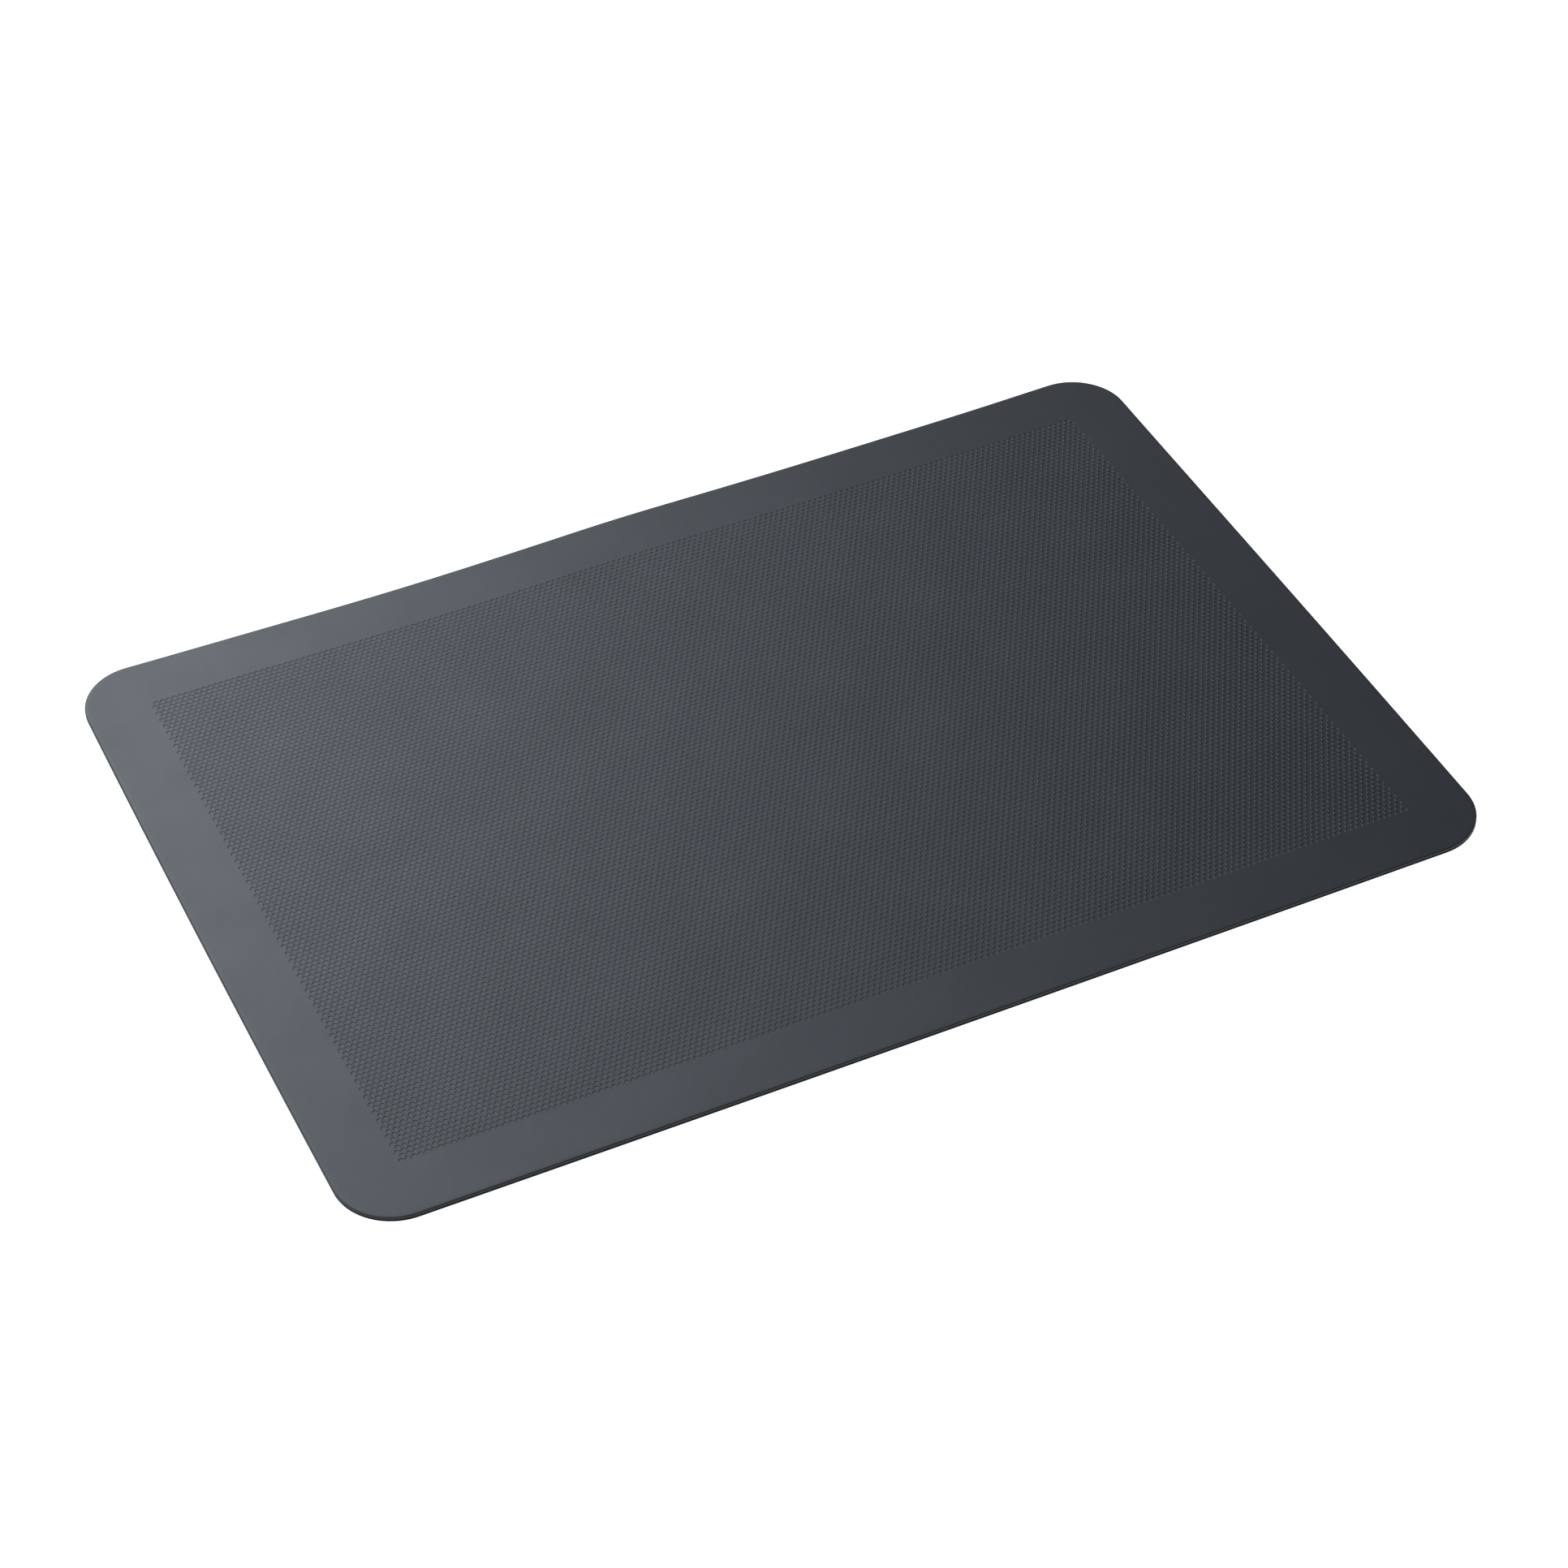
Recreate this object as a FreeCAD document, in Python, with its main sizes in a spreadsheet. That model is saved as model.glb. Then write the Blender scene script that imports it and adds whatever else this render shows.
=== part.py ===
"""Anti-fatigue standing mat: a thin laminate of a moulded cover, a foam core and a non-slip base.

Frame: the origin is on the floor under the middle of the mat, +X runs along its length, +Y across its
width and +Z up. Every sheet has the mat's rounded-rectangle outline, moved in by that sheet's own inset.
"""

import FreeCAD, Part
import math
import os

import Sketcher

SHEET = "Dimensions"

# Driving dimensions in millimetres: alias, value, meaning.
DRIVING = [
    ("mat_length", 760, "overall length along X"),
    ("mat_width", 530, "overall width along Y"),
    ("corner_radius", 38, "plan radius of the four corners"),
    ("base_rim_height", 1.7, "height of the base's rim above the floor"),
    ("cover_rim_height", 2.0, "height of the cover's rim above the rim bond"),
    ("bond_thickness", 0.1, "thickness of every adhesive film"),
    ("base_floor", 0.9, "thickness of the base under the core"),
    ("cover_skin", 1.0, "thickness of the cover over the core"),
    ("rim_width", 12, "width of the solid rim outside the cavity"),
    ("core_clearance", 0.5, "gap between the core's edge and the cavity wall"),
    ("bond_setback", 0.6, "distance from the mat's edge to the rim bond"),
    ("top_round", 0.8, "radius of the cover's upper edge"),
    ("bottom_round", 0.8, "radius of the base's lower edge"),
    ("parting_chamfer", 0.2, "chamfer on each side of the parting line"),
]

# Dimensions that follow from the driving ones: alias, formula, meaning.
DERIVED = [
    ("cover_z", "=base_rim_height + bond_thickness", "height of the cover's lowest face"),
    ("mat_thickness", "=cover_z + cover_rim_height", "overall thickness"),
    ("cover_recess", "=cover_rim_height - cover_skin", "depth of the recess in the cover"),
    ("base_recess", "=base_rim_height - base_floor", "depth of the recess in the base"),
    ("core_z", "=base_floor + bond_thickness", "height of the core's underside"),
    ("upper_bond_z", "=mat_thickness - cover_skin - bond_thickness", "height of the upper film's underside"),
    ("core_thickness", "=upper_bond_z - core_z", "thickness of the foam core"),
    ("core_inset", "=rim_width + core_clearance", "distance from the mat's edge to the core's edge"),
]

# The points of a sketch's edge, as constraints number them.
START, END, CENTRE = 1, 2, 3
SKETCH_ORIGIN = (-1, 1)
SAME_HEIGHT = 1e-6


def cell(alias):
    """The expression that reads one cell of the sheet."""
    return f"{SHEET}.{alias}"


def make_sheet(doc):
    """The spreadsheet that holds every dimension under its alias."""
    sheet = doc.addObject("Spreadsheet::Sheet", SHEET)
    for row, (alias, value, meaning) in enumerate(DRIVING + DERIVED, start=1):
        sheet.set(f"A{row}", meaning)
        sheet.set(f"B{row}", str(value))
        sheet.setAlias(f"B{row}", alias)
    doc.recompute()


def make_body(doc, name, height=None):
    """An empty body named after its sub-part, lifted to the height that a cell gives."""
    body = doc.addObject("PartDesign::Body", name)
    body.Label = name
    if height:
        body.setExpression("Placement.Base.z", cell(height))
    return body


def add_outline(sketch, inset):
    """Draws the mat's outline, moved in by a cell's value, as four sides joined by tangent quarter arcs."""
    moved_in = cell(inset) if inset else "0"
    length = f"{cell('mat_length')} - 2 * {moved_in}"
    width = f"{cell('mat_width')} - 2 * {moved_in}"
    corner = f"{cell('corner_radius')} - {moved_in}"
    radius = float(sketch.evalExpression(corner))
    centre_x = float(sketch.evalExpression(length)) / 2 - radius
    centre_y = float(sketch.evalExpression(width)) / 2 - radius

    up = FreeCAD.Vector(0, 0, 1)
    arcs = []
    for quarter, (side_x, side_y) in enumerate([(1, 1), (-1, 1), (-1, -1), (1, -1)]):
        circle = Part.Circle(FreeCAD.Vector(side_x * centre_x, side_y * centre_y, 0), up, radius)
        begin = quarter * math.pi / 2
        arcs.append(sketch.addGeometry(Part.ArcOfCircle(circle, begin, begin + math.pi / 2)))
    following = arcs[1:] + arcs[:1]
    sides = []
    for here, there in zip(arcs, following):
        a = sketch.Geometry[here].EndPoint
        b = sketch.Geometry[there].StartPoint
        sides.append(sketch.addGeometry(Part.LineSegment(a, b)))
    back, left, front, right = sides

    for here, side, there in zip(arcs, sides, following):
        sketch.addConstraint(Sketcher.Constraint("Tangent", here, END, side, START))
        sketch.addConstraint(Sketcher.Constraint("Tangent", side, END, there, START))
    for arc in arcs[1:]:
        sketch.addConstraint(Sketcher.Constraint("Equal", arcs[0], arc))
    for side in (back, front):
        sketch.addConstraint(Sketcher.Constraint("Horizontal", side))
    for side in (left, right):
        sketch.addConstraint(Sketcher.Constraint("Vertical", side))
    sketch.addConstraint(Sketcher.Constraint("Symmetric", arcs[0], CENTRE, arcs[2], CENTRE, *SKETCH_ORIGIN))

    sized = [
        (Sketcher.Constraint("Radius", arcs[0], radius), corner),
        (Sketcher.Constraint("DistanceX", left, START, right, START, 2 * (centre_x + radius)), length),
        (Sketcher.Constraint("DistanceY", front, START, back, START, 2 * (centre_y + radius)), width),
    ]
    for constraint, formula in sized:
        number = sketch.addConstraint(constraint)
        sketch.setExpression(f"Constraints[{number}]", formula)


def make_sketch(body, name, *insets, height=None):
    """A sketch with one outline for each inset, on the body's XY plane or lifted above it by a cell."""
    sketch = body.newObject("Sketcher::SketchObject", name)
    plane = next(part for part in body.Origin.OriginFeatures if part.Role == "XY_Plane")
    sketch.AttachmentSupport = [(plane, "")]
    sketch.MapMode = "FlatFace"
    if height:
        sketch.setExpression("AttachmentOffset.Base.z", cell(height))
    for inset in insets:
        add_outline(sketch, inset)
    return sketch


def pad(body, sketch, thickness):
    """Raises a sketch by the thickness that a cell gives."""
    feature = body.newObject("PartDesign::Pad", f"{body.Name}_pad")
    feature.Profile = sketch
    feature.setExpression("Length", cell(thickness))
    body.Document.recompute()
    return feature


def recess(body, sketch, depth, upwards):
    """Sinks a sketch into the body by the depth that a cell gives."""
    feature = body.newObject("PartDesign::Pocket", f"{body.Name}_recess")
    feature.Profile = sketch
    feature.Reversed = upwards
    feature.setExpression("Length", cell(depth))
    body.Document.recompute()
    return feature


def rim_edges(body, base, at_top):
    """The names of the outermost edges that run round the top or the bottom face of a feature's shape."""
    box = base.Shape.BoundBox
    level = box.ZMax if at_top else box.ZMin
    face = next(
        f
        for f in base.Shape.Faces
        if abs(f.BoundBox.ZMin - level) < SAME_HEIGHT and abs(f.BoundBox.ZMax - level) < SAME_HEIGHT
    )
    outer = face.OuterWire
    return [
        f"Edge{number}"
        for number, edge in enumerate(base.Shape.Edges, start=1)
        if any(edge.isSame(other) for other in outer.Edges)
    ]


def dress_rim(body, kind, base, at_top, size_name, size):
    """Rounds or bevels the mat's edge on one side, by the size that a cell gives."""
    side = "upper" if at_top else "lower"
    feature = body.newObject(f"PartDesign::{kind}", f"{body.Name}_{side}_edge")
    feature.Base = (base, rim_edges(body, base, at_top))
    feature.setExpression(size_name, cell(size))
    body.Document.recompute()
    return feature


def make_base_sheet(doc):
    """The non-slip base: a shallow tray, open upwards, with a rounded lower edge."""
    body = make_body(doc, "base_sheet")
    slab = pad(body, make_sketch(body, "base_outline", None), "base_rim_height")
    rounded = dress_rim(body, "Fillet", slab, False, "Radius", "bottom_round")
    bevelled = dress_rim(body, "Chamfer", rounded, True, "Size", "parting_chamfer")
    mouth = make_sketch(body, "base_cavity_outline", "rim_width", height="base_rim_height")
    recess(body, mouth, "base_recess", upwards=False)
    return body, bevelled


def make_top_cover(doc):
    """The cover: a shallow tray, open downwards, with a rounded upper edge. Its top carries the tread."""
    body = make_body(doc, "top_cover", "cover_z")
    slab = pad(body, make_sketch(body, "cover_outline", None), "cover_rim_height")
    rounded = dress_rim(body, "Fillet", slab, True, "Radius", "top_round")
    bevelled = dress_rim(body, "Chamfer", rounded, False, "Size", "parting_chamfer")
    mouth = make_sketch(body, "cover_cavity_outline", "rim_width")
    recess(body, mouth, "cover_recess", upwards=True)
    return body, bevelled


def make_sheet_layer(doc, name, height, thickness):
    """A flat sheet cut to the core's outline: the core itself, or the film on one of its faces."""
    body = make_body(doc, name, height)
    pad(body, make_sketch(body, f"{name}_outline", "core_inset"), thickness)
    return body


def make_rim_bond(doc):
    """The ring of adhesive between the two rims, set back from the edge so that a parting line shows."""
    body = make_body(doc, "rim_bond", "base_rim_height")
    pad(body, make_sketch(body, "rim_bond_outline", "bond_setback", "rim_width"), "bond_thickness")
    return body


def check(doc, bodies):
    """Stops unless every object recomputed and every sub-part is one valid solid."""
    failed = [item.Name for item in doc.Objects if {"Invalid", "Error"} & set(item.State)]
    if failed:
        raise RuntimeError(f"not recomputed: {failed}")
    for body in bodies:
        shape = body.Shape
        if shape.isNull() or not shape.isValid() or len(shape.Solids) != 1:
            raise RuntimeError(f"{body.Label} isn't one valid solid")


def main():
    doc = FreeCAD.newDocument("anti_fatigue_mat")
    make_sheet(doc)
    base_sheet, base_uncut = make_base_sheet(doc)
    top_cover, cover_uncut = make_top_cover(doc)
    bodies = [
        base_sheet,
        make_sheet_layer(doc, "lower_bond_film", "base_floor", "bond_thickness"),
        make_sheet_layer(doc, "cushion_core", "core_z", "core_thickness"),
        make_sheet_layer(doc, "upper_bond_film", "upper_bond_z", "bond_thickness"),
        make_rim_bond(doc),
        top_cover,
    ]
    doc.recompute()
    check(doc, bodies)
    for tray, uncut in ((base_sheet, base_uncut), (top_cover, cover_uncut)):
        if tray.Shape.Volume >= uncut.Shape.Volume:
            raise RuntimeError(f"the recess in {tray.Label} cut nothing")

    os.makedirs("parts", exist_ok=True)
    for body in bodies:
        body.Shape.exportStep(f"parts/{body.Label}.step")
        box = body.Shape.optimalBoundingBox()
        print(
            f"{body.Label}: {box.XLength:.2f} x {box.YLength:.2f} x {box.ZLength:.2f} mm"
            f" at z {box.ZMin:.2f}, {body.Shape.Volume / 1000:.1f} cm3"
        )


main()
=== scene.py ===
"""The looks of the anti-fatigue mat: its six layers as detailed meshes, their materials, light and camera.

Everything is in metres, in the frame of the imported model: the origin is on the floor under the middle of
the mat, +X along its length, +Y across it and +Z up.
"""

import math

import bpy
import numpy as np
from mathutils import Matrix, Vector
from mathutils.geometry import delaunay_2d_cdt
from mathutils.kdtree import KDTree


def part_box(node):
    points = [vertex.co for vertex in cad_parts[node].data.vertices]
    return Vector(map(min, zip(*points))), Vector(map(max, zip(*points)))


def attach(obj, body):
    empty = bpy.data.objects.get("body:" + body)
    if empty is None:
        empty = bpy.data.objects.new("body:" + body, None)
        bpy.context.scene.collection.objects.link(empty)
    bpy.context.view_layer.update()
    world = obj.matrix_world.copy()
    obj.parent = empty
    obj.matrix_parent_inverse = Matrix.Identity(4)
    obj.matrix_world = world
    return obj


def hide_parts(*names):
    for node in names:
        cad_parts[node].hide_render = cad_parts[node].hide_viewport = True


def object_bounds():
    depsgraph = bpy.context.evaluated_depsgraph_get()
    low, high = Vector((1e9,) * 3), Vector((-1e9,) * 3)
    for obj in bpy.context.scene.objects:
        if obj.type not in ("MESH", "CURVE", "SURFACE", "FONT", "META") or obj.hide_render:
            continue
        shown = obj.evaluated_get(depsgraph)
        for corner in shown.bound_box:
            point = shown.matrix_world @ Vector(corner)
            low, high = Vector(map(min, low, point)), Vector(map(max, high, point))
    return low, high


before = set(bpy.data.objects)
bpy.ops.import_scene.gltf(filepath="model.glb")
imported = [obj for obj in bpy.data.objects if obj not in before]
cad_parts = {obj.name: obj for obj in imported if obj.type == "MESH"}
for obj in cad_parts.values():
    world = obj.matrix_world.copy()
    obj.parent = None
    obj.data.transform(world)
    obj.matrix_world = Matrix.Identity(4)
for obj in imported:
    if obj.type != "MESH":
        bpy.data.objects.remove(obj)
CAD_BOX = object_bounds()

MM = 0.001

# The layers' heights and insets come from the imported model.
MAT_LOW, MAT_HIGH = CAD_BOX
HALF_LENGTH = (MAT_HIGH.x - MAT_LOW.x) / 2
HALF_WIDTH = (MAT_HIGH.y - MAT_LOW.y) / 2
TOP_Z = MAT_HIGH.z
COVER_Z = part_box("top_cover")[0].z
BASE_TOP_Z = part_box("base_sheet")[1].z
CORE_LOW, CORE_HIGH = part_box("cushion_core")
LOWER_FILM_LOW, LOWER_FILM_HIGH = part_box("lower_bond_film")
UPPER_FILM_LOW, UPPER_FILM_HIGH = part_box("upper_bond_film")
BOND_LOW, BOND_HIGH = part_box("rim_bond")
CORE_INSET = HALF_LENGTH - CORE_HIGH.x
BOND_INSET = HALF_LENGTH - BOND_HIGH.x

# Sizes that the model's boxes don't show.
CORNER_RADIUS = 38 * MM
CAVITY_INSET = 12 * MM
TOP_ROUND = 0.8 * MM
BOTTOM_ROUND = 0.8 * MM
PARTING_BEVEL = 0.2 * MM

# The outline's sampling: every loop has the same number of points, so that loops join with quads.
ARC_STEPS = 20
LENGTH_STEPS = 84
WIDTH_STEPS = 56

# The rim's sampling: steps round each edge, and the flat strip that keeps each round's shading apart.
ROUND_STEPS = 8
FLAT_MARGIN = 2.5 * MM

# The sampling of flat ground: how many loops cross the border, how far in they reach above and below, and
# the step of the grid inside the recesses.
BORDER_LOOPS = 5
TREAD_BORDER_REACH = CORNER_RADIUS
GRIP_BORDER_REACH = 16 * MM
GRID_STEP = 20 * MM

# Edges that turn by more degrees than this stay sharp.
SHARP_ANGLE = 22

# The tread: a hexagonal packing of wide, flat-floored round dimples, centred on the mat. Each ring has a
# radius in pitches, a height above the land, and a share from 0 to 1 that says how far it lies in the hollow.
TREAD = {"pitch": 4.0533 * MM, "rows": 128, "columns": 167}
TREAD_SIDES = 12
TREAD_RINGS = [(0.44, 0.0, 0.0), (0.35, -0.28 * MM, 1.0), (0.0, -0.28 * MM, 1.0)]

# The underside: larger shallow cups that grip the floor, with the same three values to a ring.
GRIP = {"pitch": 14.0 * MM, "rows": 40, "columns": 51}
GRIP_SIDES = 18
GRIP_RINGS = [(0.40, 0.0, 0.0), (0.35, 0.35 * MM, 0.8), (0.0, 0.40 * MM, 1.0)]

# A hexagonal cell: its corners, the first one's direction in degrees, and how near to its centre, as a share
# of the pitch, a point has to be to lie in it. The corners are 0.577 of the pitch away.
CELL_CORNERS = 6
FIRST_CORNER = -30
CELL_REACH = 0.6

# How the mat lies: its two far corners stand a little proud of the floor and its sides bow slightly.
FAR_CORNER_LIFT = 0.9 * MM
LEFT_BOW = 1.5 * MM
RIGHT_BOW = 0.8 * MM
NEAR_BOW = 0.9 * MM
# Waves in the far edge: place and spread as shares of half the length, and depth inwards.
FAR_WAVES = [
    (-0.95, 0.12, -0.7 * MM),
    (-0.40, 0.30, 3.0 * MM),
    (0.03, 0.14, -0.9 * MM),
    (0.36, 0.22, 0.6 * MM),
    (0.93, 0.16, -1.5 * MM),
]

# The tread's slight unevenness over the foam: its size, the distance from the edge over which it fades in,
# and its long crossing waves, each with radians per metre along X and along Y, a phase, and a relative size.
SWELL = 0.05 * MM
SWELL_FADE = 40 * MM
SWELL_WAVES = [
    (61.0, 23.0, 0.4, 1.0),
    (-34.0, 72.0, 1.9, 0.8),
    (18.0, -51.0, 3.1, 0.9),
    (88.0, 64.0, 5.2, 0.5),
    (-97.0, 41.0, 0.9, 0.4),
]

# For Blender's triangulation: the mode that keeps only what the fixed edges enclose, and the distance at
# which two points are one.
INSIDE = 2
CLOSEST = 1e-7

# The floor is a square this far from its middle to its sides.
FLOOR_HALF = 12

# The softboxes: name, place, width, height and watts. Each faces the middle of the mat. The back one draws
# the sheen on the left, the left one lights the mat from above, and the front one is a faint fill.
SOFTBOXES = [
    ("back", (-0.54, 2.54, 2.17), 2.13, 1.13, 128),
    ("left", (-1.55, -0.10, 3.00), 1.8, 1.8, 72),
    ("front", (0.80, -2.20, 2.60), 3.0, 3.6, 10),
]
ROOM_STRENGTH = 0.08

# The camera: its angles in degrees, the point it looks at, its distance from there, its lens and sensor in
# millimetres, and the furthest that it sees.
CAMERA_AZIMUTH = -23.962
CAMERA_ELEVATION = 42.390
CAMERA_ROLL = -1.590
CAMERA_TARGET = (-0.0002, -0.0250, 0)
CAMERA_DISTANCE = 2.6440
LENS_LENGTH = 95.606
SENSOR_WIDTH = 36
CAMERA_REACH = 100


# ---------------------------------------------------------------- how the mat lies


def lie(x, y):
    """Where the flat outline's point (x, y) goes on the floor, and how high it is lifted."""
    u = x / HALF_LENGTH
    v = y / HALF_WIDTH
    side_bow = np.where(x > 0, RIGHT_BOW, LEFT_BOW) * u**3 * (1 - v**2)
    near_bow = NEAR_BOW * np.clip(-v, 0, 1) ** 3 * (1 - u**2)
    waves = sum(depth * np.exp(-(((u - place) / spread) ** 2)) for place, spread, depth in FAR_WAVES)
    far_dip = waves * np.clip(v, 0, 1) ** 3
    lift = FAR_CORNER_LIFT * np.clip(v, 0, 1) ** 4 * u**6
    return x + side_bow, y - near_bow - far_dip, lift


def swell(x, y):
    """How much higher the tread is at the flat outline's point (x, y), for its unevenness over the foam."""
    inward = np.minimum(HALF_LENGTH - np.abs(x), HALF_WIDTH - np.abs(y))
    fade = np.clip(inward / SWELL_FADE, 0, 1)
    smooth_fade = fade**2 * (3 - 2 * fade)
    total = sum(size * np.sin(kx * x + ky * y + phase) for kx, ky, phase, size in SWELL_WAVES)
    return SWELL * smooth_fade * total


# ---------------------------------------------------------------- mesh building


class Shell:
    """Collects the points and faces of one piece. Points are flat until `make` lays them on the floor."""

    def __init__(self):
        self.points = []
        self.faces = []
        self.count = 0

    def add(self, xy, z, hollow=0.0, top=False):
        """Adds points at one height and returns their numbers. Those with `top` follow the tread's swell."""
        xy = np.asarray(xy, float).reshape(-1, 2)
        block = np.column_stack([xy, np.full((len(xy), 3), (z, hollow, top))])
        self.points.append(block)
        numbers = np.arange(self.count, self.count + len(xy))
        self.count += len(xy)
        return numbers

    def bridge(self, lower, upper):
        """Joins two loops of equal length with quads. They face outwards when the loops run
        anticlockwise and the second is above or inside the first."""
        ahead = np.roll(np.arange(len(lower)), -1)
        quads = np.column_stack([lower, lower[ahead], upper[ahead], upper])
        self.faces += quads.tolist()

    def fill(self, outer, z, upwards, more, cells=None, top=False):
        """Triangulates the flat ground inside the loop `outer`, keeping clear of a lattice's cells.

        `more` holds further points, laid at height `z`, that keep the triangles small."""
        edge_points = np.unique(cells.edges) if cells else np.empty(0, int)
        given = np.concatenate([outer, edge_points]).astype(int)
        flat = np.vstack([self.table()[given, :2], more])
        used = np.concatenate([given, self.add(more, z, top=top)])
        place = {number: i for i, number in enumerate(used)}
        fixed = [(i, (i + 1) % len(outer)) for i in range(len(outer))]
        if cells:
            fixed += [(place[a], place[b]) for a, b in cells.edges]
        made = delaunay_2d_cdt([Vector(point) for point in flat], fixed, [], INSIDE, CLOSEST, True)
        triangles, origins = made[2], made[3]
        for triangle in triangles:
            corners = [origins[i][0] for i in triangle]
            if cells and cells.cover(flat[corners].mean(axis=0)):
                continue
            face = used[corners].tolist()
            self.faces.append(face if upwards else face[::-1])

    def table(self):
        """Every point so far, one row each: x, y, z, hollow, top."""
        return np.vstack(self.points)

    def make(self, name):
        """The finished object, laid as the mat lies, with smooth faces and the sharper edges kept."""
        x, y, z, hollow, top = self.table().T
        moved_x, moved_y, lift = lie(x, y)
        height = z + lift + top * swell(x, y)
        mesh = bpy.data.meshes.new(name)
        mesh.from_pydata(np.column_stack([moved_x, moved_y, height]).tolist(), [], self.faces)
        mesh.attributes.new("hollow", "FLOAT", "POINT").data.foreach_set("value", hollow)
        mesh.validate()
        mesh.shade_smooth()
        mesh.set_sharp_from_angle(angle=math.radians(SHARP_ANGLE))
        piece = bpy.data.objects.new(name, mesh)
        bpy.context.collection.objects.link(piece)
        return piece


def outline(inset):
    """The mat's outline moved in by `inset`, anticlockwise from where the -Y side meets its +X corner."""
    radius = CORNER_RADIUS - inset
    far_x = HALF_LENGTH - inset - radius
    far_y = HALF_WIDTH - inset - radius
    corners = [(1, -1), (1, 1), (-1, 1), (-1, -1)]
    points = []
    for quarter, (sx, sy) in enumerate(corners):
        centre = np.array([sx * far_x, sy * far_y])
        turn = (quarter - 1) * math.pi / 2 + np.linspace(0, math.pi / 2, ARC_STEPS + 1)
        arc = centre + radius * np.column_stack([np.cos(turn), np.sin(turn)])
        next_centre = np.array(corners[(quarter + 1) % 4]) * (far_x, far_y)
        next_start = next_centre + (arc[-1] - centre)
        steps = WIDTH_STEPS if quarter % 2 == 0 else LENGTH_STEPS
        share = np.linspace(0, 1, steps + 1)[1:-1, None]
        points += [arc, arc[-1] + share * (next_start - arc[-1])]
    return np.vstack(points)


def inner_grid(inset):
    """Points on an even grid, clear of the outline moved in by `inset`."""
    first = inset + GRID_STEP
    last = inset + GRID_STEP / 2
    x = np.arange(-HALF_LENGTH + first, HALF_LENGTH - last, GRID_STEP)
    y = np.arange(-HALF_WIDTH + first, HALF_WIDTH - last, GRID_STEP)
    return np.array([(a, b) for a in x for b in y])


def arc_profile(inset, height, radius, begin, end):
    """(inset, height) steps of a quarter round on the rim, from one angle to the other, in degrees.
    The angle is measured from straight out to straight up, and (inset, height) is the round's centre."""
    angles = np.radians(np.linspace(begin, end, ROUND_STEPS + 1))
    return [(inset - radius * math.cos(a), height + radius * math.sin(a)) for a in angles]


class Cells:
    """The ground that a lattice covers: its boundary edges, and a test for what lies under its cells."""

    def __init__(self, centres, edges, pitch):
        self.edges = edges
        self.reach = CELL_REACH * pitch
        self.tree = KDTree(len(centres))
        for number, (x, y) in enumerate(centres):
            self.tree.insert((x, y, 0), number)
        self.tree.balance()

    def cover(self, point):
        """True for a point in a cell. Points between the outer cells are further from any centre."""
        return self.tree.find((*point, 0))[2] < self.reach


def lattice(shell, packing, sides, rings, z, upwards, top=False):
    """Lays a hexagonal packing of round hollows on one side of a shell and returns its cells.

    Each cell is a flat hexagon that shares its corners with its neighbours, round a ring of `sides` points
    and the rings inside it. The corners are kept as whole steps of half a cell, so that shared ones match."""
    pitch, rows, columns = packing["pitch"], packing["rows"], packing["columns"]
    unit_x = pitch / 2
    unit_y = pitch / math.sqrt(3) / 2
    first_row = -(rows - 1) / 2
    cells = []
    for row in range(rows):
        number = columns - row % 2
        for column in range(number):
            cells.append((2 * column - number + 1, 3 * row))
    cells = np.array(cells)
    centres = np.column_stack([cells[:, 0] * unit_x, (cells[:, 1] + 3 * first_row) * unit_y])

    around = np.array([(1, -1), (1, 1), (0, 2), (-1, 1), (-1, -1), (0, -2)])
    keys = (cells[:, None, :] + around[None, :, :]).reshape(-1, 2)
    corners, which = np.unique(keys, axis=0, return_inverse=True)
    corner_xy = np.column_stack([corners[:, 0] * unit_x, (corners[:, 1] + 3 * first_row) * unit_y])
    corner_numbers = shell.add(corner_xy, z, top=top)[which.ravel()].reshape(-1, CELL_CORNERS)

    turn = math.radians(FIRST_CORNER) + np.arange(sides) * 2 * math.pi / sides
    circle = np.column_stack([np.cos(turn), np.sin(turn)])
    ring_numbers = []
    for radius, rise, hollow in rings:
        spokes = circle * radius * pitch if radius else np.zeros((1, 2))
        spread = (centres[:, None, :] + spokes[None, :, :]).reshape(-1, 2)
        ring_numbers.append(shell.add(spread, z + rise, hollow, top).reshape(len(centres), -1))

    order = slice(None) if upwards else slice(None, None, -1)
    lip = ring_numbers[0]
    per_side = sides // CELL_CORNERS
    for k in range(CELL_CORNERS):
        ahead = (k + 1) % CELL_CORNERS
        arc = [(k * per_side + i) % sides for i in range(per_side + 1)]
        land = [corner_numbers[:, k], corner_numbers[:, ahead], *(lip[:, i] for i in reversed(arc))]
        shell.faces += np.column_stack(land)[:, order].tolist()
    for wide, narrow in zip(ring_numbers, ring_numbers[1:]):
        for k in range(sides):
            ahead = (k + 1) % sides
            if narrow.shape[1] == 1:
                part = [wide[:, k], wide[:, ahead], narrow[:, 0]]
            else:
                part = [wide[:, k], wide[:, ahead], narrow[:, ahead], narrow[:, k]]
            shell.faces += np.column_stack(part)[:, order].tolist()

    pairs = np.vstack([corner_numbers[:, [k, (k + 1) % CELL_CORNERS]] for k in range(CELL_CORNERS)])
    pairs = np.sort(pairs, axis=1)
    edges, times = np.unique(pairs, axis=0, return_counts=True)
    return Cells(centres, edges[times == 1], pitch)


def rim(shell, profile, top_from=math.inf):
    """Sweeps (inset, height) steps round the outline and returns the first and the last loop. The loops at
    `top_from` or higher follow the tread's swell."""
    loops = [shell.add(outline(inset), height, top=height >= top_from) for inset, height in profile]
    for lower, upper in zip(loops, loops[1:]):
        shell.bridge(lower, upper)
    return loops[0], loops[-1]


# ---------------------------------------------------------------- the pieces


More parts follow.
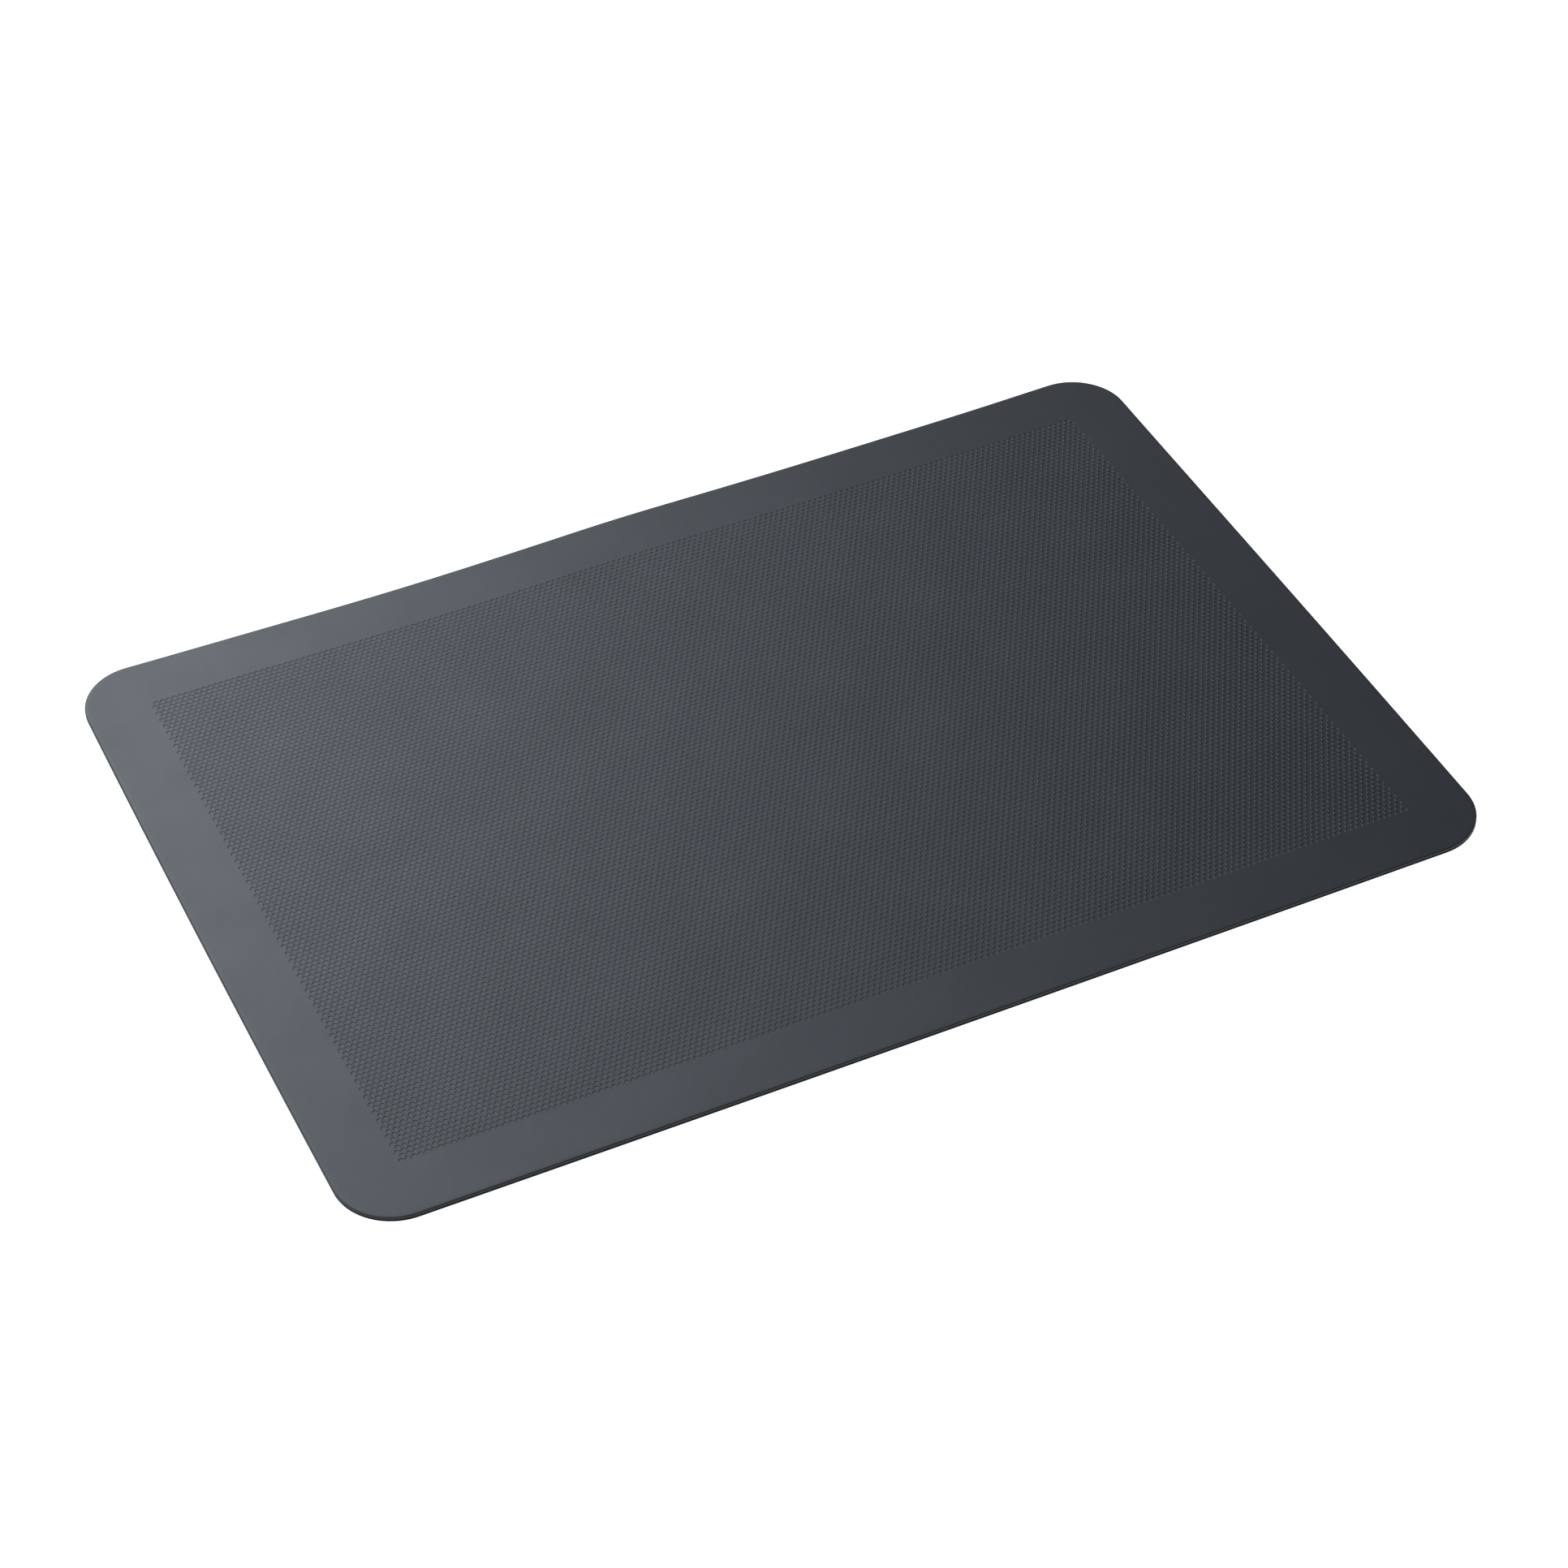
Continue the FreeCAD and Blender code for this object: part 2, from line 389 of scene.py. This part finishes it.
def border_loops(start, end):
    """The points of outlines spread evenly between two insets, without the ends."""
    return np.vstack([outline(inset) for inset in np.linspace(start, end, BORDER_LOOPS + 2)[1:-1]])


def make_top_cover():
    """The moulded cover: dimpled tread, plain border, rounded rim, and the recess that holds the core."""
    shell = Shell()
    profile = [
        (CAVITY_INSET, UPPER_FILM_HIGH.z),
        (CAVITY_INSET, COVER_Z),
        (PARTING_BEVEL, COVER_Z),
        (0, COVER_Z + PARTING_BEVEL),
        *arc_profile(TOP_ROUND, TOP_Z - TOP_ROUND, TOP_ROUND, 0, 90),
        (TOP_ROUND + FLAT_MARGIN, TOP_Z),
    ]
    ceiling, border = rim(shell, profile, top_from=TOP_Z)
    shell.fill(ceiling, UPPER_FILM_HIGH.z, False, inner_grid(CAVITY_INSET))
    tread = lattice(shell, TREAD, TREAD_SIDES, TREAD_RINGS, TOP_Z, upwards=True, top=True)
    strips = border_loops(TOP_ROUND + FLAT_MARGIN, TREAD_BORDER_REACH)
    shell.fill(border, TOP_Z, True, strips, tread, top=True)
    return shell.make("cover")


def make_base_sheet():
    """The non-slip base: a tray with a rounded lower rim and shallow grip cups underneath."""
    shell = Shell()
    profile = [
        (BOTTOM_ROUND + FLAT_MARGIN, 0),
        *arc_profile(BOTTOM_ROUND, BOTTOM_ROUND, BOTTOM_ROUND, -90, 0),
        (0, BASE_TOP_Z - PARTING_BEVEL),
        (PARTING_BEVEL, BASE_TOP_Z),
        (CAVITY_INSET, BASE_TOP_Z),
        (CAVITY_INSET, LOWER_FILM_LOW.z),
    ]
    sole, floor = rim(shell, profile)
    shell.fill(floor, LOWER_FILM_LOW.z, True, inner_grid(CAVITY_INSET))
    grip = lattice(shell, GRIP, GRIP_SIDES, GRIP_RINGS, 0, upwards=False)
    shell.fill(sole, 0, False, border_loops(BOTTOM_ROUND + FLAT_MARGIN, GRIP_BORDER_REACH), grip)
    return shell.make("base")


def make_flat_layer(name, low, high):
    """A sheet cut to the core's outline: the foam core, or the adhesive film on one of its faces."""
    shell = Shell()
    bottom, top = rim(shell, [(CORE_INSET, low.z), (CORE_INSET, high.z)])
    for loop, z, upwards in ((bottom, low.z, False), (top, high.z, True)):
        shell.fill(loop, z, upwards, inner_grid(CORE_INSET))
    return shell.make(name)


def make_rim_bond():
    """The ring of adhesive between the two rims, set back from the edge."""
    shell = Shell()
    profile = [
        (CAVITY_INSET, BOND_LOW.z),
        (BOND_INSET, BOND_LOW.z),
        (BOND_INSET, BOND_HIGH.z),
        (CAVITY_INSET, BOND_HIGH.z),
    ]
    first, last = rim(shell, profile)
    shell.bridge(last, first)
    return shell.make("edge_bond")


# ---------------------------------------------------------------- materials


class Tree:
    """A material's node tree, with short calls for the nodes that these materials share."""

    def __init__(self, name):
        self.material = bpy.data.materials.new(name)
        self.material.use_nodes = True
        self.nodes = self.material.node_tree.nodes
        self.links = self.material.node_tree.links
        self.shader = self.nodes["Principled BSDF"]
        self.place = self.nodes.new("ShaderNodeTexCoord").outputs["Object"]

    def noise(self, per_metre, detail, roughness=0.5):
        """Noise with about `per_metre` features to the metre, from 0 to 1."""
        node = self.nodes.new("ShaderNodeTexNoise")
        node.inputs["Scale"].default_value = per_metre
        node.inputs["Detail"].default_value = detail
        node.inputs["Roughness"].default_value = roughness
        self.links.new(self.place, node.inputs["Vector"])
        return node.outputs["Fac"]

    def attribute(self, name):
        """The mesh attribute of that name, as a value."""
        node = self.nodes.new("ShaderNodeAttribute")
        node.attribute_name = name
        return node.outputs["Fac"]

    def spread(self, value, low, high, to_low=0.0, to_high=1.0):
        """Maps value from low..high to to_low..to_high, held at both ends."""
        node = self.nodes.new("ShaderNodeMapRange")
        node.inputs["From Min"].default_value = low
        node.inputs["From Max"].default_value = high
        node.inputs["To Min"].default_value = to_low
        node.inputs["To Max"].default_value = to_high
        self.links.new(value, node.inputs["Value"])
        return node.outputs["Result"]

    def math(self, operation, a, b):
        """The result of one operation on two values, each a number or another node's output."""
        node = self.nodes.new("ShaderNodeMath")
        node.operation = operation
        for socket, value in zip(node.inputs, (a, b)):
            if isinstance(value, (int, float)):
                socket.default_value = value
            else:
                self.links.new(value, socket)
        return node.outputs["Value"]

    def mix(self, factor, first, second):
        """A colour between two, each an RGB tuple or another node's colour."""
        node = self.nodes.new("ShaderNodeMix")
        node.data_type = "RGBA"
        self.links.new(factor, node.inputs[0])
        for socket, value in ((node.inputs[6], first), (node.inputs[7], second)):
            if isinstance(value, tuple):
                socket.default_value = (*value, 1)
            else:
                self.links.new(value, socket)
        return node.outputs[2]

    def bump(self, height, distance, strength, below=None):
        """A normal for fine relief `distance` high, laid over another bump where `below` is given."""
        node = self.nodes.new("ShaderNodeBump")
        node.inputs["Strength"].default_value = strength
        node.inputs["Distance"].default_value = distance
        self.links.new(height, node.inputs["Height"])
        if below:
            self.links.new(below, node.inputs["Normal"])
        return node.outputs["Normal"]

    def finish(self, colour, roughness, normal):
        """Links the shader to its colour, roughness and normal, and returns the material."""
        self.links.new(colour, self.shader.inputs["Base Color"])
        self.links.new(roughness, self.shader.inputs["Roughness"])
        self.links.new(normal, self.shader.inputs["Normal"])
        return self.material


def cover_material():
    """Moulded charcoal skin: satin, finely grained, with faint mottling and a little dust in the dimples."""
    tree = Tree("charcoal_skin")
    charcoal = (0.0075, 0.0090, 0.0125)
    lighter = (0.0092, 0.0109, 0.0147)
    speck = (0.040, 0.043, 0.048)
    dust = (0.085, 0.085, 0.082)
    mottling = tree.spread(tree.noise(14, 4), 0.3, 0.7)
    speckle = tree.spread(tree.noise(2600, 2), 0.62, 0.78, 0, 0.35)
    dust_patches = tree.spread(tree.noise(30, 5), 0.45, 0.8, 0, 0.07)
    dustiness = tree.math("MULTIPLY", tree.attribute("hollow"), dust_patches)
    colour = tree.mix(mottling, charcoal, lighter)
    colour = tree.mix(speckle, colour, speck)
    colour = tree.mix(dustiness, colour, dust)
    rough = tree.spread(tree.noise(22, 5), 0.25, 0.75, 0.53, 0.56)
    grain = tree.bump(tree.noise(1900, 3, 0.6), 0.05 * MM, 0.6)
    peel = tree.bump(tree.noise(160, 2), 0.12 * MM, 0.5, grain)
    tree.shader.inputs["Specular Tint"].default_value = (0.78, 0.89, 1.0, 1)
    return tree.finish(colour, rough, peel)


def base_material():
    """Non-slip rubber: darker and duller than the cover, with a powdery bloom in patches."""
    tree = Tree("non_slip_rubber")
    rubber = (0.008, 0.009, 0.010)
    bloomed = (0.013, 0.014, 0.015)
    speck = (0.03, 0.03, 0.03)
    bloom = tree.spread(tree.noise(18, 5), 0.4, 0.75, 0, 0.5)
    speckle = tree.spread(tree.noise(1800, 2), 0.6, 0.8, 0, 0.3)
    colour = tree.mix(bloom, rubber, bloomed)
    colour = tree.mix(speckle, colour, speck)
    rough = tree.spread(tree.noise(40, 4), 0.3, 0.7, 0.66, 0.80)
    grain = tree.bump(tree.noise(1400, 3, 0.6), 0.08 * MM, 0.7)
    tree.shader.inputs["Specular IOR Level"].default_value = 0.1
    return tree.finish(colour, rough, grain)


def foam_material():
    """Closed-cell foam: dark grey, matt, with the cut cells showing as pits whose middles are painted darker
    as shade.
    """
    tree = Tree("closed_cell_foam")
    # The darker colour is painted shade in the cells' hollows; the lighter one is the foam between them.
    pit_shade = (0.030, 0.031, 0.033)
    wall = (0.075, 0.076, 0.080)
    cells = tree.nodes.new("ShaderNodeTexVoronoi")
    cells.inputs["Scale"].default_value = 1100
    tree.links.new(tree.place, cells.inputs["Vector"])
    relief = tree.spread(cells.outputs["Distance"], 0.1, 0.6)
    # The relief that bumps the cells also darkens their middles as painted shade.
    colour = tree.mix(relief, pit_shade, wall)
    rough = tree.spread(tree.noise(90, 3), 0.3, 0.7, 0.85, 0.95)
    return tree.finish(colour, rough, tree.bump(relief, 0.2 * MM, 0.8))


def adhesive_material():
    """Hot-melt adhesive: pale amber, slightly glossy, unevenly spread."""
    tree = Tree("adhesive_film")
    thick = (0.42, 0.36, 0.24)
    thin = (0.55, 0.50, 0.38)
    thinness = tree.spread(tree.noise(60, 4), 0.3, 0.7)
    colour = tree.mix(thinness, thick, thin)
    rough = tree.spread(tree.noise(150, 3), 0.3, 0.7, 0.3, 0.5)
    return tree.finish(colour, rough, tree.bump(tree.noise(300, 3), 0.05 * MM, 0.6))


# ---------------------------------------------------------------- floor, light and camera


def make_floor():
    """A plain pale floor that runs past every view."""
    corners = [(x * FLOOR_HALF, y * FLOOR_HALF, 0) for x, y in ((-1, -1), (1, -1), (1, 1), (-1, 1))]
    mesh = bpy.data.meshes.new("floor")
    mesh.from_pydata(corners, [], [(0, 1, 2, 3)])
    floor = bpy.data.objects.new("floor", mesh)
    bpy.context.collection.objects.link(floor)
    paint = bpy.data.materials.new("pale_floor")
    paint.use_nodes = True
    shader = paint.node_tree.nodes["Principled BSDF"]
    shader.inputs["Base Color"].default_value = (0.20, 0.20, 0.20, 1)
    shader.inputs["Roughness"].default_value = 0.9
    shader.inputs["Specular IOR Level"].default_value = 0.2
    shader.inputs["Emission Color"].default_value = (1, 1, 1, 1)
    shader.inputs["Emission Strength"].default_value = 1.0
    mesh.materials.append(paint)


def softbox(name, place, width, height, watts):
    """A rectangular light at `place` that faces the middle of the mat."""
    lamp = bpy.data.lights.new(name, "AREA")
    lamp.shape = "RECTANGLE"
    lamp.size = width
    lamp.size_y = height
    lamp.energy = watts
    box = bpy.data.objects.new(name, lamp)
    bpy.context.collection.objects.link(box)
    box.location = place
    box.rotation_euler = (-Vector(place)).to_track_quat("-Z", "Y").to_euler()


def make_light():
    """The softboxes in a dim, faintly blue room. The camera alone sees a white backdrop."""
    for values in SOFTBOXES:
        softbox(*values)
    world = bpy.data.worlds.new("studio")
    world.use_nodes = True
    nodes, links = world.node_tree.nodes, world.node_tree.links
    room = nodes["Background"]
    room.inputs["Color"].default_value = (0.93, 0.96, 1.0, 1)
    room.inputs["Strength"].default_value = ROOM_STRENGTH
    backdrop = nodes.new("ShaderNodeBackground")
    backdrop.inputs["Color"].default_value = (1, 1, 1, 1)
    seen = nodes.new("ShaderNodeLightPath").outputs["Is Camera Ray"]
    choice = nodes.new("ShaderNodeMixShader")
    links.new(seen, choice.inputs["Fac"])
    links.new(room.outputs["Background"], choice.inputs[1])
    links.new(backdrop.outputs["Background"], choice.inputs[2])
    links.new(choice.outputs["Shader"], nodes["World Output"].inputs["Surface"])
    bpy.context.scene.world = world


def make_camera():
    """A long lens from the front left, looking down on the mat."""
    azimuth = math.radians(CAMERA_AZIMUTH)
    elevation = math.radians(CAMERA_ELEVATION)
    roll = math.radians(CAMERA_ROLL)
    back = Vector(
        (
            math.sin(azimuth) * math.cos(elevation),
            -math.cos(azimuth) * math.cos(elevation),
            math.sin(elevation),
        )
    )
    level = Vector((0, 0, 1)).cross(back).normalized()
    upright = back.cross(level)
    right = math.cos(roll) * level + math.sin(roll) * upright
    up = math.cos(roll) * upright - math.sin(roll) * level
    lens = bpy.data.cameras.new("camera")
    lens.lens = LENS_LENGTH
    lens.sensor_width = SENSOR_WIDTH
    lens.clip_end = CAMERA_REACH
    camera = bpy.data.objects.new("camera", lens)
    bpy.context.collection.objects.link(camera)
    turn = Matrix((right, up, back)).transposed().to_4x4()
    camera.matrix_world = Matrix.Translation(Vector(CAMERA_TARGET) + back * CAMERA_DISTANCE) @ turn
    bpy.context.scene.camera = camera


# ---------------------------------------------------------------- the scene


def add_piece(piece, node, material):
    """Gives a piece its material, hangs it under the root body, and hides the CAD node that it stands for."""
    piece.data.materials.append(material)
    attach(piece, "root")
    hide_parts(node)
    return piece


make_camera()
make_light()
make_floor()
bpy.context.scene.view_settings.view_transform = "Standard"

film = adhesive_material()
add_piece(make_top_cover(), "top_cover", cover_material())
add_piece(make_base_sheet(), "base_sheet", base_material())
core = add_piece(make_flat_layer("foam_core", CORE_LOW, CORE_HIGH), "cushion_core", foam_material())
add_piece(make_flat_layer("upper_film", UPPER_FILM_LOW, UPPER_FILM_HIGH), "upper_bond_film", film)
add_piece(make_flat_layer("lower_film", LOWER_FILM_LOW, LOWER_FILM_HIGH), "lower_bond_film", film)
add_piece(make_rim_bond(), "rim_bond", film)
